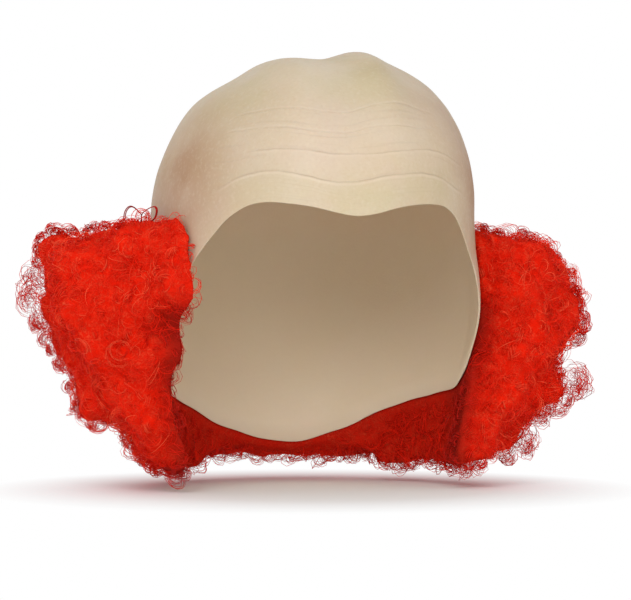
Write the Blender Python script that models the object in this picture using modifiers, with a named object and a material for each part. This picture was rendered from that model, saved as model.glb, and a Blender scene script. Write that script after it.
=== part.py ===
"""A bald clown wig: a moulded latex cap with furrows over the brow and a ring of curly hair below it.

Metres, +Z up, the face looks along -Y. The origin is inside the crown, where the head bears.
Azimuths are in degrees about +Z: 0 is the brow, 90 is +X and 180 is the nape.
"""

import math
import random

import bmesh
import bpy
from mathutils import Matrix, Vector

# The cap's outside
CAP_WIDTH = 0.158
CAP_FRONT = 0.097
CAP_BACK = 0.100
DOME_HEIGHT = 0.080
BROW_DROP = 0.083
NAPE_DROP = 0.195
LATEX = 0.0012
DOME_POWER = 2.3
PLAN_POWER = 2.1
FOREHEAD_TAPER = 0.05
NAPE_TURN_POWER = 1.3
DENT_DEPTH = 0.0069

# The furrows across the forehead
FURROW_DEPTH = 0.0006
FURROW_WIDTH = 0.0036
FURROW_FADE = 16

# The cap's mesh and the head form's
CAP_COLUMNS = 52
COLUMN_SAMPLES = 720
FORM_COLUMNS = 64
FORM_ROWS = 26

# The hair
HAIR_TOP_DROP = 0.087
HAIR_HEIGHT = 0.120
HAIR_REACH = 0.075
HAIR_GAP = 0.0006
PIECE_GAP = 0.0006
SIDE_AZIMUTH = 127
BLEND_FROM = 104
BLEND_TO = 150

# The dense body of each bunch
BODY_SHARE = 0.84
BODY_ROUNDING = 0.30
BODY_LEVELS = 7
BODY_STEP = 13

# The locks that cover it, with their angles in degrees
LOCK_RADIUS = 0.0165
LOCK_LENGTH = 0.042
LOCK_ROWS = 5
LOCK_STEP = 13.5
LOCK_SIDES = 7
LOCK_RINGS = 5
LOCK_TILT = 30
LOCK_FAN = 38
LOCK_SWAY = 8
LOCK_SPREAD = 0.03
LOCK_VARIETY = 0.12
LOCK_ROOT_WIDTH = 0.6
LOCK_FULL_FROM = 0.7
LOCK_STAGGER = 0.25
EDGE_VARIETY = 0.02
CAPPING_TILT = 62
CAPPING_DEPTH = 0.55
FRONT_DEPTH = 0.62
FRONT_SHARE = -0.08
FRONT_KEPT_SHARE = 0.1

# The cap's plan below the dome: share of the way down to the nape, and shares of the reach at side and back
LOWER_ROWS = (
    {"level": 0.00, "side": 1.00, "back": 1.00},
    {"level": 0.15, "side": 1.01, "back": 0.99},
    {"level": 0.28, "side": 1.03, "back": 0.95},
    {"level": 0.44, "side": 1.03, "back": 0.88},
    {"level": 0.61, "side": 0.98, "back": 0.80},
    {"level": 0.77, "side": 0.92, "back": 0.73},
    {"level": 1.00, "side": 0.86, "back": 0.67},
    {"level": 1.30, "side": 0.82, "back": 0.64},
)

# The cap's lower edge: azimuth, and share of the way down from the brow to the nape
RIM_ROWS = (
    {"azimuth": 0, "drop": 0.008},
    {"azimuth": 6, "drop": -0.003},
    {"azimuth": 12, "drop": -0.024},
    {"azimuth": 18, "drop": -0.040},
    {"azimuth": 24, "drop": -0.047},
    {"azimuth": 30, "drop": -0.038},
    {"azimuth": 35, "drop": -0.012},
    {"azimuth": 39, "drop": 0.020},
    {"azimuth": 43, "drop": 0.070},
    {"azimuth": 48, "drop": 0.135},
    {"azimuth": 54, "drop": 0.220},
    {"azimuth": 60, "drop": 0.325},
    {"azimuth": 67, "drop": 0.455},
    {"azimuth": 75, "drop": 0.580},
    {"azimuth": 82, "drop": 0.670},
    {"azimuth": 92, "drop": 0.745},
    {"azimuth": 108, "drop": 0.770},
    {"azimuth": 130, "drop": 0.830},
    {"azimuth": 155, "drop": 0.940},
    {"azimuth": 180, "drop": 1.000},
)

# Dents of the soft crown: place and spread as shares of the half width, of the front reach and of the dome's
# height, and share of the depth, below nothing on a ridge
DENT_ROWS = (
    {"name": "saddle", "x": 0, "y": -0.05, "drop": 0, "wide": 0.18, "long": 0.9, "tall": 0.8, "depth": 0.78},
    {"name": "ridge", "x": 0.26, "y": -0.1, "drop": 0, "wide": 0.08, "long": 0.6, "tall": 0.8, "depth": -0.33},
    {"name": "shoulder", "x": -0.54, "y": 0, "drop": 0.1, "wide": 0.18, "long": 0.62, "tall": 0.5, "depth": 1},
    {"name": "flank", "x": -0.9, "y": 0.15, "drop": 0.5, "wide": 0.24, "long": 0.7, "tall": 0.3, "depth": 0.61},
    {"name": "dimple", "x": 0.46, "y": -0.5, "drop": 0.2, "wide": 0.1, "long": 0.22, "tall": 0.4, "depth": 0.28},
)

# Furrows: share of the way from the crown to the edge, share of the depth, and azimuths of its two ends
FURROW_ROWS = (
    {"travel": 0.585, "depth": 0.8, "left": -38, "right": 42},
    {"travel": 0.690, "depth": 0.6, "left": -42, "right": 40},
    {"travel": 0.785, "depth": 0.9, "left": -36, "right": 46},
    {"travel": 0.895, "depth": 1.0, "left": -42, "right": 46},
)

# Rows of the cap's mesh between the furrows
PLAIN_TRAVELS = (0.07, 0.14, 0.21, 0.28, 0.35, 0.42, 0.50, 0.95, 1.0)

# How far the hair stands out at each level, as shares of its height and of its reach, and the azimuths at which
# the two side bunches begin
HAIR_LEVELS = (
    {"level": 0.00, "left": 0.77, "right": 0.44, "back": 0.42, "left_front": -54, "right_front": 80},
    {"level": 0.12, "left": 0.78, "right": 0.90, "back": 0.70, "left_front": -52, "right_front": 79},
    {"level": 0.24, "left": 0.90, "right": 0.93, "back": 0.82, "left_front": -53, "right_front": 79},
    {"level": 0.41, "left": 0.73, "right": 1.00, "back": 0.86, "left_front": -58, "right_front": 79},
    {"level": 0.54, "left": 0.66, "right": 0.88, "back": 0.82, "left_front": -67, "right_front": 79},
    {"level": 0.67, "left": 0.55, "right": 0.95, "back": 0.73, "left_front": -71, "right_front": 77},
    {"level": 0.79, "left": 0.51, "right": 0.80, "back": 0.58, "left_front": -72, "right_front": 75},
    {"level": 0.90, "left": 0.24, "right": 0.54, "back": 0.38, "left_front": -72, "right_front": 73},
    {"level": 1.00, "left": 0.10, "right": 0.30, "back": 0.20, "left_front": -70, "right_front": 72},
)

# How far it stands out round the head, by azimuth
HAIR_SWEEP = (
    {"azimuth": 56, "share": 0.14},
    {"azimuth": 64, "share": 0.32},
    {"azimuth": 72, "share": 0.60},
    {"azimuth": 82, "share": 0.88},
    {"azimuth": 96, "share": 1.00},
    {"azimuth": 112, "share": 0.95},
    {"azimuth": 127, "share": 0.84},
    {"azimuth": 150, "share": 0.74},
    {"azimuth": 180, "share": 0.70},
)

# The three bunches of hair: the column that a side bunch's front is read from, and the azimuth at which each ends
BUNCHES = (
    {"name": "hair_left", "front": "left_front", "to": -SIDE_AZIMUTH, "seed": 3},
    {"name": "hair_right", "front": "right_front", "to": SIDE_AZIMUTH, "seed": 8},
    {"name": "hair_back", "front": None, "to": 360 - SIDE_AZIMUTH, "seed": 5},
)

LATEX_COLOUR = (0.70, 0.58, 0.42, 1.0)
HAIR_COLOUR = (0.61, 0.014, 0.004, 1.0)


def read_rows(rows, column, key, at):
    """The column's value at a key, on a smooth curve through the rows that is level at both ends."""
    keys = [row[key] for row in rows]
    values = [row[column] for row in rows]
    at = min(max(at, keys[0]), keys[-1])
    index = max(i for i in range(len(keys) - 1) if keys[i] <= at)
    span = keys[index + 1] - keys[index]

    def slope(i):
        if i in (0, len(keys) - 1):
            return 0.0
        return (values[i + 1] - values[i - 1]) / (keys[i + 1] - keys[i - 1])

    t = (at - keys[index]) / span
    start = (2 * t**3 - 3 * t**2 + 1) * values[index] + (t**3 - 2 * t**2 + t) * span * slope(index)
    end = (3 * t**2 - 2 * t**3) * values[index + 1] + (t**3 - t**2) * span * slope(index + 1)
    return start + end


def plan_reach(azimuth):
    """The cap's reach from the axis at its widest level."""
    across = math.sin(math.radians(azimuth))
    ahead = math.cos(math.radians(azimuth))
    side = CAP_WIDTH / 2 * (1 - FOREHEAD_TAPER * max(0.0, ahead))
    along = CAP_FRONT if ahead > 0 else CAP_BACK
    return (abs(across / side) ** PLAN_POWER + abs(ahead / along) ** PLAN_POWER) ** (-1 / PLAN_POWER)


def level_share(azimuth, drop):
    """The share of the plan's reach that the cap has at a drop below the crown."""
    if drop < DOME_HEIGHT:
        return (1 - (1 - drop / DOME_HEIGHT) ** DOME_POWER) ** (1 / DOME_POWER)
    level = (drop - DOME_HEIGHT) / (NAPE_DROP - DOME_HEIGHT)
    backness = max(0.0, -math.cos(math.radians(azimuth))) ** NAPE_TURN_POWER
    side = read_rows(LOWER_ROWS, "side", "level", level)
    back = read_rows(LOWER_ROWS, "back", "level", level)
    return side + (back - side) * backness


def dent_depth(x, y, drop):
    """How far the soft crown is pressed in at a place."""
    depth = 0.0
    for row in DENT_ROWS:
        across = (x / (CAP_WIDTH / 2) - row["x"]) / row["wide"]
        along = (y / CAP_FRONT - row["y"]) / row["long"]
        down = (drop / DOME_HEIGHT - row["drop"]) / row["tall"]
        depth += row["depth"] * DENT_DEPTH * math.exp(-(across**2 + along**2 + down**2) / 2)
    return depth


CROWN_LIFT = LATEX + dent_depth(0, 0, 0)


def form_point(azimuth, drop, outward=0.0):
    """A point of the head form that the cap is moulded on, with its crown's dents, moved outward by a length."""
    angle = math.radians(azimuth)
    reach = plan_reach(azimuth) * level_share(azimuth, drop) if drop > 0 else 0.0
    point = Vector((reach * math.sin(angle), -reach * math.cos(angle), -drop))
    middle = Vector((0, 0, -max(DOME_HEIGHT, drop)))
    away = (point - middle).normalized()
    return point + away * (outward - dent_depth(point.x, point.y, drop)) + Vector((0, 0, CROWN_LIFT))


def rim_drop(azimuth):
    """The drop of the cap's lower edge below the crown."""
    turned = abs((azimuth + 180) % 360 - 180)
    return BROW_DROP + read_rows(RIM_ROWS, "drop", "azimuth", turned) * (NAPE_DROP - BROW_DROP)


def travel_to(drop):
    """Distance down the cap, as a share of the way from the crown to its widest level."""
    if drop > DOME_HEIGHT:
        return 1 + (drop - DOME_HEIGHT) / (DOME_HEIGHT * math.pi / 2)
    return math.acos((1 - drop / DOME_HEIGHT) ** (DOME_POWER / 2)) / (math.pi / 2)


def drop_at(travel):
    if travel > 1:
        return DOME_HEIGHT + (travel - 1) * DOME_HEIGHT * math.pi / 2
    return DOME_HEIGHT * (1 - math.cos(travel * math.pi / 2) ** (2 / DOME_POWER))


def even_columns():
    """Azimuths that lie evenly along the cap's lower edge, so the steep stretch before each ear has enough."""
    azimuths = [360 * i / COLUMN_SAMPLES for i in range(COLUMN_SAMPLES + 1)]
    points = [form_point(azimuth, rim_drop(azimuth)) for azimuth in azimuths]
    lengths = [0.0]
    for before, after in zip(points, points[1:]):
        lengths.append(lengths[-1] + (after - before).length)
    chosen = []
    for column in range(CAP_COLUMNS):
        wanted = lengths[-1] * column / CAP_COLUMNS
        index = max(i for i in range(COLUMN_SAMPLES) if lengths[i] <= wanted)
        share = (wanted - lengths[index]) / (lengths[index + 1] - lengths[index])
        chosen.append(azimuths[index] + share * (azimuths[index + 1] - azimuths[index]))
    return chosen


def furrow_press(azimuth, furrow):
    """A furrow's depth at an azimuth, fading out at both ends."""
    turned = (azimuth + 180) % 360 - 180
    inside = min(turned - furrow["left"], furrow["right"] - turned) / FURROW_FADE
    share = min(max(inside, 0.0), 1.0)
    return FURROW_DEPTH * furrow["depth"] * share


def cap_rows():
    """(share of the way to the edge, furrow or None) for each row of the cap's mesh."""
    half = FURROW_WIDTH / 2 / (DOME_HEIGHT * math.pi / 2)
    rows = [(travel, None) for travel in PLAIN_TRAVELS]
    for furrow in FURROW_ROWS:
        rows += [(furrow["travel"] - half, None), (furrow["travel"], furrow), (furrow["travel"] + half, None)]
    return sorted(rows, key=lambda row: row[0])


def dome_mesh(name, rows, crown):
    """An open dome through rings of points, with a fan of faces to the crown."""
    shape = bmesh.new()
    rings = [[shape.verts.new(point) for point in row] for row in rows]
    top = shape.verts.new(crown)
    count = len(rings[0])
    for i in range(count):
        shape.faces.new((top, rings[0][i], rings[0][(i + 1) % count]))
    join_rings(shape, rings)
    return to_mesh(name, shape)


def join_rings(shape, rings):
    """Faces between closed rings of points."""
    for upper, lower in zip(rings, rings[1:]):
        for i in range(len(upper)):
            j = (i + 1) % len(upper)
            shape.faces.new((upper[i], lower[i], lower[j], upper[j]))


def to_mesh(name, shape):
    mesh = bpy.data.meshes.new(name)
    shape.to_mesh(mesh)
    shape.free()
    return mesh


def put(name, mesh, collection, material=None):
    made = bpy.data.objects.new(name, mesh)
    collection.objects.link(made)
    if material:
        mesh.materials.append(material)
    return made


def helper(name, mesh, collection):
    """An object that only shapes others."""
    made = put(name, mesh, collection)
    made.hide_render = True
    made.display_type = "WIRE"
    return made


def finish(name, colour, roughness):
    material = bpy.data.materials.new(name)
    material.use_nodes = True
    shader = material.node_tree.nodes["Principled BSDF"]
    shader.inputs["Base Color"].default_value = colour
    shader.inputs["Roughness"].default_value = roughness
    shader.inputs["Metallic"].default_value = 0.0
    material.diffuse_color = colour
    return material


def make_cap(collection):
    """The moulded cap, an open shell one wall thick."""
    columns = even_columns()
    rows = []
    for travel, furrow in cap_rows():
        row = []
        for azimuth in columns:
            drop = drop_at(travel_to(rim_drop(azimuth)) * travel)
            press = furrow_press(azimuth, furrow) if furrow else 0.0
            row.append(form_point(azimuth, drop, -press))
        rows.append(row)
    mesh = dome_mesh("cap", rows, form_point(0, 0))
    cap = put("cap", mesh, collection, finish("latex", LATEX_COLOUR, 0.55))
    wall = cap.modifiers.new("wall", "SOLIDIFY")
    wall.thickness = LATEX
    wall.offset = -1
    mesh.shade_smooth()
    return cap


def hair_outline(azimuth, level):
    """The hair's distance from the axis at an azimuth and a level: the side's, blended into the back's."""
    turned = (azimuth + 180) % 360 - 180
    across = read_rows(HAIR_SWEEP, "share", "azimuth", abs(turned))
    side = read_rows(HAIR_LEVELS, "right" if turned > 0 else "left", "level", level)
    back = read_rows(HAIR_LEVELS, "back", "level", level)
    backness = min(max((abs(turned) - BLEND_FROM) / (BLEND_TO - BLEND_FROM), 0), 1)
    return plan_reach(azimuth) + HAIR_REACH * across * (side + (back - side) * backness)


def hair_point(azimuth, level, share):
    """A point between the axis and the hair's outline, at a share of the way."""
    angle = math.radians(azimuth)
    reach = hair_outline(azimuth, level) * share
    height = CROWN_LIFT - HAIR_TOP_DROP - HAIR_HEIGHT * level
    return Vector((reach * math.sin(angle), -reach * math.cos(angle), height))


def bunch_azimuth(bunch, level, share):
    """The azimuth at a share of the way round one bunch, at a level."""
    start = read_rows(HAIR_LEVELS, bunch["front"], "level", level) if bunch["front"] else SIDE_AZIMUTH
    return start + (bunch["to"] - start) * share


def end_rounding(bunch, share):
    """The share of its depth that a side bunch keeps towards its front end."""
    return 1 - BODY_ROUNDING * (1 - share) ** 6 if bunch["front"] else 1.0


def bunch_steps(bunch, step):
    """How many steps of about one size go round the bunch at its middle."""
    return max(2, round(abs(bunch["to"] - bunch_azimuth(bunch, 0.5, 0)) / step))


def lock_mesh(name):
    """A lock one unit long and one in radius, thin at the root at the origin and full towards its tip on +Z."""
    shape = bmesh.new()
    bmesh.ops.create_uvsphere(shape, u_segments=LOCK_SIDES, v_segments=LOCK_RINGS, radius=1)
    for vertex in shape.verts:
        along = (vertex.co.z + 1) / 2
        fullness = math.sin(min(along / LOCK_FULL_FROM, 1) * math.pi / 2)
        narrow = LOCK_ROOT_WIDTH + (1 - LOCK_ROOT_WIDTH) * fullness
        vertex.co = Vector((vertex.co.x * narrow, vertex.co.y * narrow, along))
    return to_mesh(name, shape)


def place_lock(bunch, spot, draw, helpers):
    """One lock, whose root is inside the bunch's body and whose tip is at its outline."""
    level = spot["level"] + draw.uniform(-LOCK_SPREAD, LOCK_SPREAD)
    azimuth = bunch_azimuth(bunch, level, spot["share"])
    drop = HAIR_TOP_DROP + HAIR_HEIGHT * level
    edge = hair_point(azimuth, level, 1 + draw.uniform(-EDGE_VARIETY, EDGE_VARIETY))
    depth = spot["depth"] * end_rounding(bunch, max(spot["share"], FRONT_KEPT_SHARE))
    tip = form_point(azimuth, drop).lerp(edge, depth)
    angle = math.radians(azimuth + spot["turn"] + draw.uniform(-LOCK_SWAY, LOCK_SWAY))
    tilt = math.radians(spot["tilt"] + draw.uniform(-LOCK_SWAY, LOCK_SWAY))
    along = Vector((math.sin(angle) * math.cos(tilt), -math.cos(angle) * math.cos(tilt), math.sin(tilt)))
    width = LOCK_RADIUS * (1 + draw.uniform(-LOCK_VARIETY, LOCK_VARIETY))
    length = LOCK_LENGTH * (1 + spot["depth"]) / 2
    name = f"{bunch['name']}_lock_{len(helpers.objects)}"
    lock = helper(name, lock_mesh(name), helpers)
    turn = along.to_track_quat("Z", "Y").to_matrix().to_4x4()
    place = Matrix.Translation(tip - along * length)
    lock.matrix_world = place @ turn @ Matrix.Diagonal((width, width, length, 1))


def lock_spots(bunch):
    """Where one bunch's locks go: staggered rows round it, its top and underside, and a side bunch's front."""
    steps = bunch_steps(bunch, LOCK_STEP)
    forward = 0 if not bunch["front"] else math.copysign(LOCK_FAN, -bunch["to"])
    spots = []

    def add(share, level, depth, turn, tilt):
        spots.append({"share": share, "level": level, "depth": depth, "turn": turn, "tilt": tilt})

    for row in range(LOCK_ROWS):
        level = body_level(row / (LOCK_ROWS - 1))
        for step in range(steps):
            share = (step + 0.5 + LOCK_STAGGER * (-1) ** (row + 1)) / steps
            add(share, level, 1, forward * (1 - share) ** 2, LOCK_TILT * (1 - 2 * level))
    for level, tilt in ((0, CAPPING_TILT), (1, -CAPPING_TILT)):
        for step in range(steps):
            share = (step + 0.5) / steps
            add(share, level, CAPPING_DEPTH, forward * (1 - share) ** 2, tilt)
    if forward:
        for row in range(1, LOCK_ROWS - 1):
            level = row / (LOCK_ROWS - 1)
            add(FRONT_SHARE, level, FRONT_DEPTH, 2 * forward, LOCK_TILT * (0.5 - level))
    return spots


def make_locks(bunch, helpers):
    draw = random.Random(bunch["seed"])
    for spot in lock_spots(bunch):
        place_lock(bunch, spot, draw, helpers)


def body_level(share):
    """A level inside the hair's height, half a lock clear of its top and its underside."""
    margin = LOCK_RADIUS / 2 / HAIR_HEIGHT
    return margin + (1 - 2 * margin) * share


def make_body(bunch, helpers):
    """The dense middle of one bunch: level rings from inside the cap out to just short of the outline."""
    steps = bunch_steps(bunch, BODY_STEP)
    shape = bmesh.new()
    rings = []
    for row in range(BODY_LEVELS):
        along = row / (BODY_LEVELS - 1)
        level = body_level(along)
        drop = HAIR_TOP_DROP + HAIR_HEIGHT * level
        depth = BODY_SHARE * (1 - BODY_ROUNDING * (2 * along - 1) ** 4)
        shares = [i / steps for i in range(steps + 1)]
        outer = []
        inner = []
        for share in shares:
            azimuth = bunch_azimuth(bunch, level, share)
            edge = hair_point(azimuth, level, 1)
            outer.append(form_point(azimuth, drop).lerp(edge, depth * end_rounding(bunch, share)))
            inner.append(form_point(azimuth, drop, -LOCK_RADIUS / 2))
        ring = outer + inner[::-1]
        for point in ring:
            point.z = CROWN_LIFT - drop
        rings.append([shape.verts.new(point) for point in ring])
    join_rings(shape, rings)
    shape.faces.new(rings[0])
    shape.faces.new(rings[-1])
    bmesh.ops.recalc_face_normals(shape, faces=shape.faces)
    name = bunch["name"] + "_body"
    return helper(name, to_mesh(name, shape), helpers)


def make_head(helpers):
    """The head form with the gap round it, which the hair is cut by."""
    bottom = HAIR_TOP_DROP + HAIR_HEIGHT + HAIR_REACH / 2
    drops = [drop_at(travel_to(bottom) * (i + 1) / FORM_ROWS) for i in range(FORM_ROWS)]
    azimuths = [360 * i / FORM_COLUMNS for i in range(FORM_COLUMNS)]
    rows = [[form_point(azimuth, drop, HAIR_GAP) for azimuth in azimuths] for drop in drops]
    mesh = dome_mesh("head_form", rows, form_point(0, 0, HAIR_GAP))
    shape = bmesh.new()
    shape.from_mesh(mesh)
    bmesh.ops.holes_fill(shape, edges=shape.edges)
    bmesh.ops.recalc_face_normals(shape, faces=shape.faces)
    shape.to_mesh(mesh)
    shape.free()
    return helper("head_form", mesh, helpers)


def make_side_cut(side, keeps_back, helpers):
    """A block that ends at the plane between a side bunch and the back one."""
    size = 4 * (CAP_WIDTH + HAIR_REACH)
    shape = bmesh.new()
    bmesh.ops.create_cube(shape, size=size)
    name = f"cut_{'right' if side > 0 else 'left'}_{'back' if keeps_back else 'side'}"
    block = helper(name, to_mesh(name, shape), helpers)
    angle = math.radians(side * SIDE_AZIMUTH)
    backward = Vector((side * math.cos(angle), side * math.sin(angle), 0))
    sense = -1 if keeps_back else 1
    offset = backward * sense * (size - PIECE_GAP) / 2
    block.matrix_world = Matrix.Translation(offset) @ Matrix.Rotation(angle, 4, "Z")
    return block


def cut(target, cutter):
    """Cut a piece by a closed form. Fused locks have slivers that the exact solver loses here."""
    step = target.modifiers.new(cutter.name, "BOOLEAN")
    step.operation = "DIFFERENCE"
    step.solver = "MANIFOLD"
    step.object = cutter


def drop_pockets(mesh):
    """Keep the outer skin alone: the small pockets between fused locks, and chips cut off them, are removed."""
    shape = bmesh.new()
    shape.from_mesh(mesh)
    islands = []
    waiting = set(shape.verts)
    while waiting:
        front = [waiting.pop()]
        island = list(front)
        while front:
            near = {edge.other_vert(vertex) for vertex in front for edge in vertex.link_edges} & waiting
            waiting -= near
            front = list(near)
            island += front
        islands.append(island)
    islands.sort(key=len)
    for island in islands[:-1]:
        bmesh.ops.delete(shape, geom=island, context="VERTS")
    shape.to_mesh(mesh)
    shape.free()


def make_bunch(bunch, head, collection, helpers, material):
    """One bunch of hair: its locks fused to its body, and cut to clear the cap and its neighbours."""
    group = bpy.data.collections.new(bunch["name"] + "_locks")
    helpers.children.link(group)
    make_locks(bunch, group)
    whole = make_body(bunch, helpers)
    fuse = whole.modifiers.new("locks", "BOOLEAN")
    fuse.operation = "UNION"
    fuse.operand_type = "COLLECTION"
    fuse.collection = group
    cut(whole, head)
    if bunch["front"]:
        cut(whole, make_side_cut(1 if bunch["to"] > 0 else -1, False, helpers))
    else:
        for side in (-1, 1):
            cut(whole, make_side_cut(side, True, helpers))
    graph = bpy.context.evaluated_depsgraph_get()
    mesh = bpy.data.meshes.new_from_object(whole.evaluated_get(graph))
    mesh.name = bunch["name"]
    drop_pockets(mesh)
    mesh.shade_smooth()
    return put(bunch["name"], mesh, collection, material)


def main():
    for found in list(bpy.data.objects):
        bpy.data.objects.remove(found)
    parts = bpy.data.collections.new("clown_wig")
    helpers = bpy.data.collections.new("helpers")
    bpy.context.scene.collection.children.link(parts)
    bpy.context.scene.collection.children.link(helpers)
    make_cap(parts)
    head = make_head(helpers)
    hair = finish("hair", HAIR_COLOUR, 0.6)
    for bunch in BUNCHES:
        make_bunch(bunch, head, parts, helpers, hair)


main()
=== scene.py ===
"""The looks of a bald clown wig: a mottled latex cap with furrows, and bunches of fine red curls.

Metres, +Z up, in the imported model's frame, and the face looks along -Y. Azimuths are in degrees about +Z:
0 is the brow, 90 is +X and 180 is the nape. A drop is a height below the crown.
"""

import math

import bmesh
import bpy
import numpy as np
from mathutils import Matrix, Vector, noise
from mathutils.kdtree import KDTree


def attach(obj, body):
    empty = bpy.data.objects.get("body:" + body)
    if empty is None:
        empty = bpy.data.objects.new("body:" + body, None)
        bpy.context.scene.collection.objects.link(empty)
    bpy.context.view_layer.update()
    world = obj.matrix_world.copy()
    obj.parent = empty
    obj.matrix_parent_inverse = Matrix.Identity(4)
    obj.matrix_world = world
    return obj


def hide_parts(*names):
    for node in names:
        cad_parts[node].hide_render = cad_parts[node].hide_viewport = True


# The cap's form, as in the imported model
CAP_WIDTH = 0.158
CAP_FRONT = 0.097
CAP_BACK = 0.1
DOME_HEIGHT = 0.08
BROW_DROP = 0.083
NAPE_DROP = 0.195
LATEX = 0.0012
DOME_POWER = 2.3
PLAN_POWER = 2.1
FOREHEAD_TAPER = 0.05
NAPE_TURN_POWER = 1.3
DENT_DEPTH = 0.0069

# The cap's mesh: rows follow the creases, closest at each
CAP_COLUMNS = 320
TOP_ROWS = 36
BETWEEN_ROWS = 5
LOWER_CAP_ROWS = 34
INNER_ROWS = 22
RIM_SAMPLES = 1440
CREASE_OFFSETS = (-0.003, -0.0018, -0.0009, -0.0004, -0.00014, 0.00014, 0.0004, 0.0009, 0.0018, 0.003)

# The cap's fine form: at a crease the latex swells, drops steeply and rises again slowly
CREASE_SWELL = 0.00018
SWELL_RUN = 0.0016
CREASE_DROP = 0.00022
DROP_RUN = 0.0011
# How wide the painted shadow along each crease is
CREASE_LINE = 0.00026
CREASE_FADE = 9
CREASE_VARIETY = 0.18
VARIETY_WAVES = 0.35
VARIETY_TURN = 1.9
CREASE_WANDER = 0.0001
CREASE_WAVES = ((0.55, 2.1, 1), (1.3, 4.7, 0.7))
# How wide the strip of painted light beside each crease is
BAND_WIDTH = 0.0005
# Where the fine lines with their painted shadow run on the brow
BROW_LINES_TURN = 55
BROW_LINES_FADE = 15
BROW_LINES_TOP = 0.006
BROW_LINES_RUN = 0.01
WAVE_HEIGHT = 0.0005
WAVE_LENGTH = 0.03
EDGE_LATEX = 0.0006
EDGE_BAND = 0.012
EDGE_WANDER = 0.0004
EDGE_WAVES = ((7, 0, 1), (17, 40, 0.6))

# The hair's dense core
CORE_VOXEL = 0.0018
CORE_CLOSING = 0.01
CORE_SMOOTHING = 14
CORE_INSET = 0.005
INSET_RUN = 0.01
INNER_INSET = 0.0024
INNER_TOP = 0.002
INNER_RUN = 0.006
SEAM_GAP = 0.0006
SEAM_RUN = 0.004
SEAM_CUT = 0.00005
CAP_GAP = 0.0007
LUMP_HEIGHT = 0.0008
LUMP_RADIUS = 0.0104
GRAIN_HEIGHT = 0.0008
GRAIN_LENGTH = 0.0034
# Painted shade between the curls: how strong it is, and how sharply it falls off toward each curl's middle
GAP_SHADE_SHARE = 0.12
GAP_SHADE_POWER = 3
SEAM_AZIMUTH = 127

# The painted shadow on the hair beside the head: the height below which it shows, and how it fades behind the
# cheeks
SHADOW_TOP = -0.108
SHADOW_RUN = 0.016
SHADOW_TINT = 0.75
BACK_SHADOW = 0.55
CHEEK_TURN = 105
CHEEK_FADE = 20

# Where curls may start: on faces that look out clear of the cap, or are well below its edge
CURL_TRIES = 6000
CURL_CLEARANCE = 0.002
CURL_TURN = -0.35
CURL_DEPTH = 0.005
COIL_SPACING = 0.0078
PUFF_SPACING = 0.0052
SPACING_SHARES = (1, 0.85, 0.7, 0.5)

# The curls: flat coils of a few fibres each, that stand or lie on the mass
FIBRE_RADIUS = 0.00013
FIBRE_SIDES = 3
FIBRE_VARIETY = (0.75, 1.25)
FIBRE_END = 0.45
COIL_TURNS = 2.2
COIL_STEPS = 19
COIL_FIBRES = 5
COIL_RADIUS = (0.003, 0.0078)
COIL_PITCH = (0.0008, 0.0018)
COIL_SINK = 0.0015
COIL_ROOT = 0.62
COIL_OPENING = 1.6
COIL_END = 0.6
COIL_CLOSING = 0.25
STANDING_AXIS = (0.8, 0.28)
LYING_SHARE = 0.45
LYING_AXIS = (0.9, 0.25)
LYING_SIZE = 0.75
LYING_RISE = 0.0006
COIL_BEND = (0.001, 0.004)
COIL_SAG = (0.0, 0.003)
FIBRE_SIZE = (0.62, 1.06)
FIBRE_PHASE = 0.45
FIBRE_OFFSET = 0.0011
FIBRE_WAVE = 0.07
FIBRE_WAVES = 0.37

# The puffs: see-through curls of fine arcs that stand out of the mass, and larger ones at the outline
PUFF_FIBRES = 6
PUFF_STEPS = 6
PUFF_RADIUS = (0.0018, 0.0058)
PUFF_RISE = (-0.25, 0.5)
PUFF_STRETCH = 0.7
PUFF_FILL = 0.45
PUFF_LEAN = 0.3
GATHERED_SHARE = 0.6
GATHERED_PULL = 2.5
TIP_FIBRES = 22
TIP_RADIUS = 0.0034
TIP_SHARE = 0.62
TIP_GROWTH = 1.04
TIP_FILL = 0.7
TIP_LEAN = 0.001
TIP_STRETCH = 0.2
ARC_TURNS = (0.42, 0.72)
ARC_SPREAD = 0.4
ARC_VARIETY = 0.3
FILL_POWER = 1.5
FRIZZ_RADIUS = 0.00013

# How far apart two seeds of noise are
SEED_SHIFT = 7.31

# The camera: turned to the wearer's right, level with the middle of the picture
CAMERA_TURN = -12
CAMERA_DISTANCE = 1.4
CAMERA_SIDE = 0.002
CAMERA_HEIGHT = -0.116
PICTURE_WIDTH = 0.309

# The stage: the floor fades out to white between two distances
FLOOR_HEIGHT = -0.2085
FLOOR_RADIUS = 3
FLOOR_FADE = (0.085, 0.165)
FLOOR_GREY = 0.9
BACKDROP_RADIUS = 6
WORLD_STRENGTH = 0.68

# The lights: name, place toward the camera, to its right and up, size and power, all turned to one point
LIGHT_TARGET = (0, 0, -0.08)
LIGHTS = (("key", 1.7, -0.25, 0.9, 1.3, 19), ("fill", 1.6, 0.9, -0.02, 1.0, 4))

# The cap's plan below the dome: shares of the way down to the nape, and of the reach at the side and the back
LOWER_LEVELS = (0, 0.15, 0.28, 0.44, 0.61, 0.77, 1, 1.3)
SIDE_SHARES = (1, 1.01, 1.03, 1.03, 0.98, 0.92, 0.86, 0.82)
BACK_SHARES = (1, 0.99, 0.95, 0.88, 0.8, 0.73, 0.67, 0.64)

# The cap's lower edge: azimuths, and shares of the way down from the brow to the nape
RIM_AZIMUTHS = (0, 6, 12, 18, 24, 30, 35, 39, 43, 48, 54, 60, 67, 75, 82, 92, 108, 130, 155, 180)
RIM_DROPS = (
    0.008, -0.003, -0.024, -0.04, -0.047, -0.038, -0.012, 0.02, 0.07, 0.135,
    0.22, 0.325, 0.455, 0.58, 0.67, 0.745, 0.77, 0.83, 0.94, 1,
)

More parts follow.
